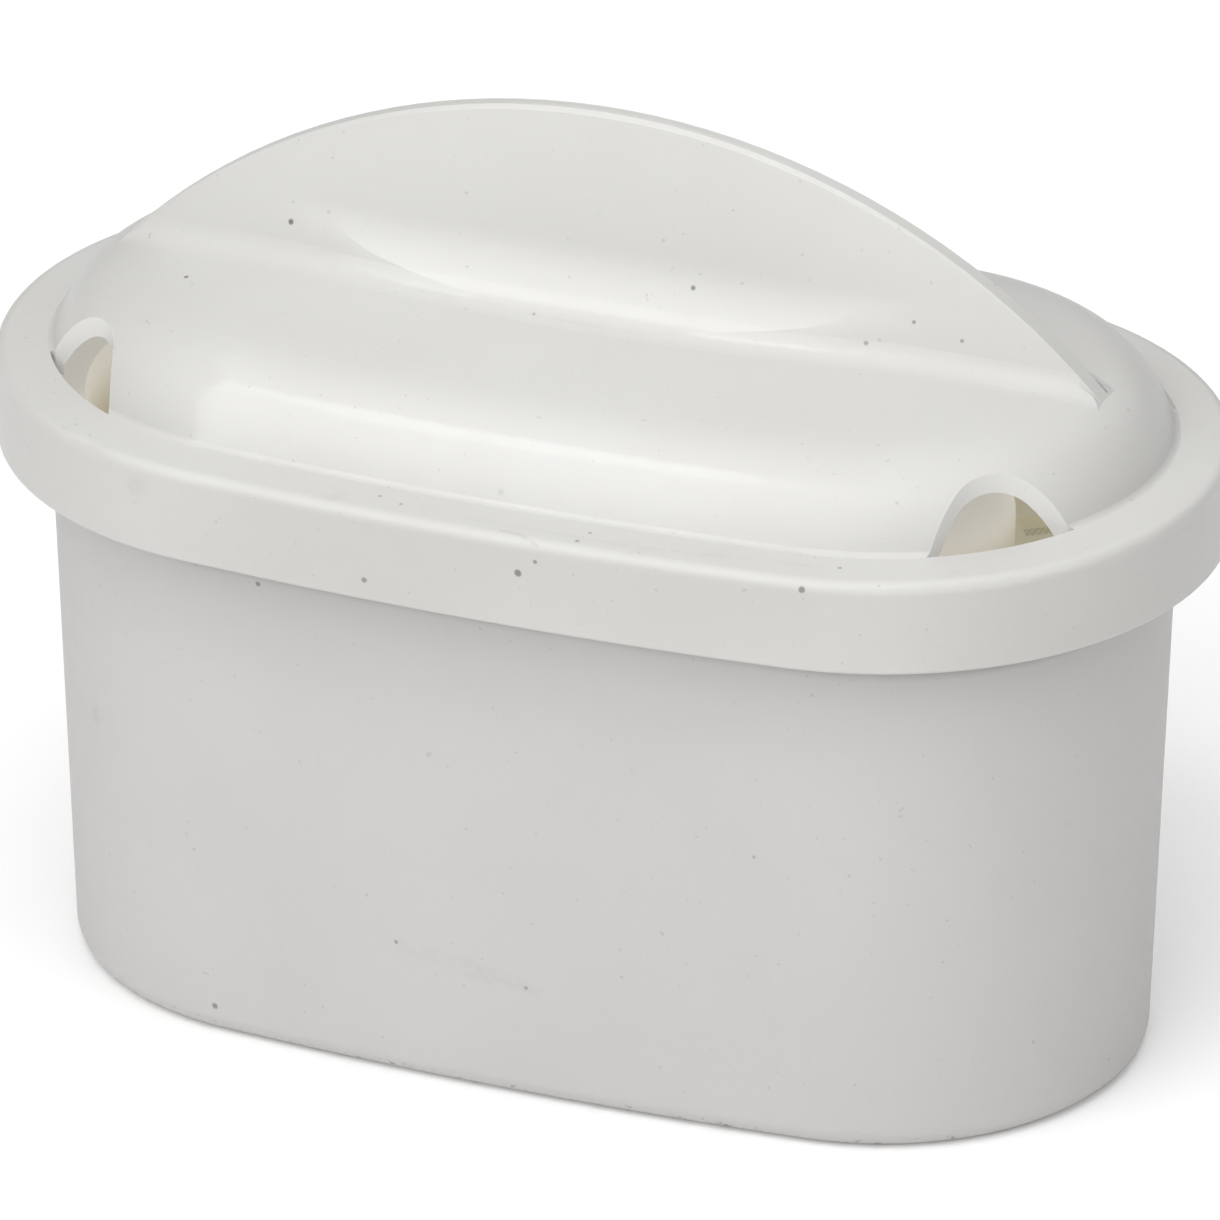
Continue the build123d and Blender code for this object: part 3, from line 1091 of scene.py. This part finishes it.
@dataclass(frozen=True)
class Studio:
    """Softboxes and even room light.

    Args:
        room: Strength of the light that comes from everywhere.
        boxes: The softboxes; the one under the table lights the foot for a view from below.
        table: The table top.
    """

    room: float = 0.17
    boxes: tuple[Softbox, ...] = (
        Softbox("front_softbox", -11.0, 40.0, 1.3, 1.35, 1.5, 15.7),
        Softbox("top_softbox", 0.0, 88.0, 1.3, 1.4, 1.4, 10.2),
        Softbox("right_softbox", 75.0, 35.0, 1.5, 0.9, 1.2, 4.3),
        Softbox("back_softbox", 180.0, 45.0, 1.5, 1.4, 1.0, 3.0),
        Softbox("under_softbox", 0.0, -88.0, 1.0, 0.6, 0.6, 5.0),
    )
    table: Table = Table()

    def set_up(self) -> None:
        """Light the room, hang the softboxes and lay the table."""
        world = bpy.data.worlds.new("room_light")
        world.use_nodes = True
        backdrop = world.node_tree.nodes["Background"]
        backdrop.inputs["Color"].default_value = (*PAINT_WHITE, 1.0)
        backdrop.inputs["Strength"].default_value = self.room
        bpy.context.scene.world = world
        bpy.context.scene.view_settings.view_transform = "Standard"
        for box in self.boxes:
            box.hang()
        self.table.build()


COVER_MARKS = (
    Fleck("roof_far_left", 291, 222, 0.36, 0.8),
    Fleck("roof_left", 186, 277, 0.29, 0.75),
    Fleck("scoop_low", 693, 288, 0.3, 0.75),
    Fleck("grip_right", 914, 322, 0.26, 0.65),
    Fleck("grip_foot_right", 866, 343, 0.25, 0.5),
    Fleck("grip_end", 962, 341, 0.25, 0.5),
    Fleck("under_scoop", 534, 314, 0.22, 0.4),
    Fleck("band_left", 364, 580, 0.34, 0.6),
    Fleck("band_middle", 518, 573, 0.4, 0.7),
    Fleck("band_right", 802, 590, 0.36, 0.65),
    Fleck("band_edge", 840, 568, 0.25, 0.5),
    Fleck("lip_left", 380, 496, 0.22, 0.4),
    Fleck("lip_near_left", 401, 504, 0.26, 0.45),
    Fleck("lip_edge_middle", 577, 541, 0.26, 0.5),
    Fleck("lip_edge_right", 590, 533, 0.22, 0.5),
    Fleck("lip_edge_low", 535, 562, 0.26, 0.6),
    Scuff("lip_edge_scuff", 494, 529, 0.28, 0.12, 518, 534),
    Scuff("lip_edge_scuff_end", 518, 534, 0.28, 0.1, 537, 546),
    Scuff("lip_stain", 462, 517, 0.4, 0.05, 640, 548),
    Scuff("lip_stain_end", 640, 548, 0.4, 0.05, 815, 566),
    Smudge("roof_left_smudge", 135, 485, 1.5, 0.12),
    Smudge("roof_spot", 145, 318, 0.9, 0.1),
    Smudge("scoop_spot", 637, 270, 1.2, 0.06),
    Smudge("roof_foot_spot", 501, 492, 0.5, 0.2),
)
CUP_MARKS = (
    Fleck("under_rim", 258, 584, 0.28, 0.65),
    Fleck("low_left", 396, 942, 0.26, 0.5),
    Fleck("low_middle", 526, 988, 0.28, 0.5),
    Fleck("foot_left", 215, 1006, 0.38, 0.65),
    Fleck("right_side", 754, 857, 0.2, 0.4),
    Smudge("left_edge_smudge", 97, 717, 1.5, 0.14),
    Scuff("foot_streak", 400, 946, 1.1, 0.03, 470, 968),
    Scuff("foot_streak_end", 470, 968, 1.2, 0.045, 528, 990),
)

# Painted shade: the cover's upright rim band is darkened below its top edge.
RIM_BAND_PAINTED_SHADE = PaintedShadeBelt(clear=55.5, full=54.5, share=0.2, tone=(0.30, 0.285, 0.27), spread=0.3)
RUBBED_RIM_EDGE = PatchyBelt(
    low=54.9,
    high=55.8,
    rise=0.4,
    fade=0.3,
    width=2.2,
    outline=(0.6, 0.76),
    share=0.16,
    tone=(0.36, 0.33, 0.27),
    stretch=(2.5, 2.5, 0.6),
)
# Painted shade on the cup under the cover's rim: a broad soft band and a darker line close under the rim.
UNDER_RIM_PAINTED_SHADE = PaintedShadeBelt(clear=44.2, full=47.8, share=0.28, tone=(0.30, 0.29, 0.27), spread=0.3)
UNDER_RIM_PAINTED_SHADE_LINE = PaintedShadeBelt(clear=44.3, full=45.9, share=0.65, tone=(0.14, 0.125, 0.105), spread=0.4)
FOOT_BURRS = PatchyBelt(
    low=-1.0,
    high=0.65,
    rise=0.4,
    fade=0.65,
    width=0.9,
    outline=(0.6, 0.68),
    share=0.75,
    tone=(0.16, 0.15, 0.14),
)
ROOF_FOOT_POLISH = PolishedBand(low=56.0, high=62.0, half_length=37.0, strength=0.68, middle=-7.5, fade=14.0)
SCOOP_POLISH = PolishedBand(low=64.5, high=67.5, half_length=26.0, strength=0.7, middle=0.0, fade=9.0)

CUP_PLASTIC = MouldedPlastic(
    name="cup_plastic",
    colour=(0.498, 0.485, 0.476),
    shade=(0.480, 0.466, 0.457),
    roughness=0.5,
    soiling_and_shade=(UNDER_RIM_PAINTED_SHADE, UNDER_RIM_PAINTED_SHADE_LINE, FOOT_BURRS),
    marks=CUP_MARKS,
)
COVER_PLASTIC = MouldedPlastic(
    name="cover_plastic",
    colour=(0.554, 0.550, 0.534),
    shade=(0.534, 0.528, 0.509),
    roughness=0.4,
    polished=(ROOF_FOOT_POLISH, SCOOP_POLISH),
    crease=SoftCrease(),
    light=CutFaceLight(low=53.9, high=63.2, bright=(0.13, 0.13, 0.125)),
    soiling_and_shade=(RIM_BAND_PAINTED_SHADE, RUBBED_RIM_EDGE),
    marks=COVER_MARKS,
)
# Painted glow on the upper sieve frame, darker towards the bottom as painted shade.
SOAKED_LIGHT = InnerLight(low=44.5, high=50.3, dim=(0.17, 0.155, 0.105), bright=(0.38, 0.37, 0.345))
OUTLET_PLASTIC = MouldedPlastic(
    name="outlet_frame_plastic",
    colour=(0.60, 0.575, 0.52),
    shade=(0.55, 0.52, 0.45),
    roughness=0.45,
)
SIEVE_PLASTIC = MouldedPlastic(
    name="frame_plastic",
    colour=OUTLET_PLASTIC.colour,
    shade=OUTLET_PLASTIC.shade,
    roughness=OUTLET_PLASTIC.roughness,
    light=SOAKED_LIGHT,
)


def wear(piece: Piece, material: bpy.types.Material) -> None:
    """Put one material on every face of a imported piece.

    Args:
        piece: The piece.
        material: What it wears.
    """
    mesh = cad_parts[piece.value].data
    mesh.materials.clear()
    mesh.materials.append(material)
    log.info("%s wears %s", piece.value, material.name)


def skin_of(piece: Piece) -> BVHTree:
    """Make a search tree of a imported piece's surface.

    Args:
        piece: The piece.

    Returns:
        The tree.
    """
    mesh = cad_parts[piece.value].data
    corners = [vertex.co.copy() for vertex in mesh.vertices]
    return BVHTree.FromPolygons(corners, [tuple(face.vertices) for face in mesh.polygons])


@dataclass(frozen=True)
class Housing:
    """Cup and cover, the two white mouldings that snap together.

    Args:
        cup: Finish of the cup.
        cover: Finish of the cover.
    """

    cup: MouldedPlastic = CUP_PLASTIC
    cover: MouldedPlastic = COVER_PLASTIC

    def dress(self, view: PhotoView) -> None:
        """Give both their finish, with the marks where the photo's camera sees them."""
        for piece, finish in ((Piece.CUP, self.cup), (Piece.COVER, self.cover)):
            wear(piece, finish.material(view, skin_of(piece)))


@dataclass(frozen=True)
class Sieves:
    """Frames, cloth and fleece that keep the granules in.

    Args:
        upper: Finish of the frame under the cover.
        outlet: Finish of the frame on the cup's floor.
        cloth: Finish of the cloth under the upper frame.
        fleece: Finish of the fleece on the outlet frame.
    """

    upper: MouldedPlastic = SIEVE_PLASTIC
    outlet: MouldedPlastic = OUTLET_PLASTIC
    cloth: WovenCloth = WovenCloth()
    fleece: Felt = Felt()

    def dress(self, view: PhotoView) -> None:
        """Give each its finish; the camera is only handed on."""
        for piece, finish in ((Piece.SIEVE_FRAME, self.upper), (Piece.OUTLET_FRAME, self.outlet)):
            wear(piece, finish.material(view, skin_of(piece)))
        wear(Piece.UPPER_CLOTH, self.cloth.material())
        wear(Piece.OUTLET_FLEECE, self.fleece.material())


@dataclass(frozen=True)
class Filling:
    """Granules that fill the cup.

    Args:
        bed: Their finish.
    """

    bed: GrainBed = GrainBed()

    def dress(self) -> None:
        """Give the granules their finish."""
        wear(Piece.GRANULE_FILLING, self.bed.material())


def main() -> None:
    """Place the camera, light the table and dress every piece."""
    logging.basicConfig(level=logging.INFO, format="%(message)s")
    view = PhotoView()
    view.set_up()
    Studio().set_up()
    Housing().dress(view)
    Sieves().dress(view)
    Filling().dress()


if __name__ == "__main__":
    main()
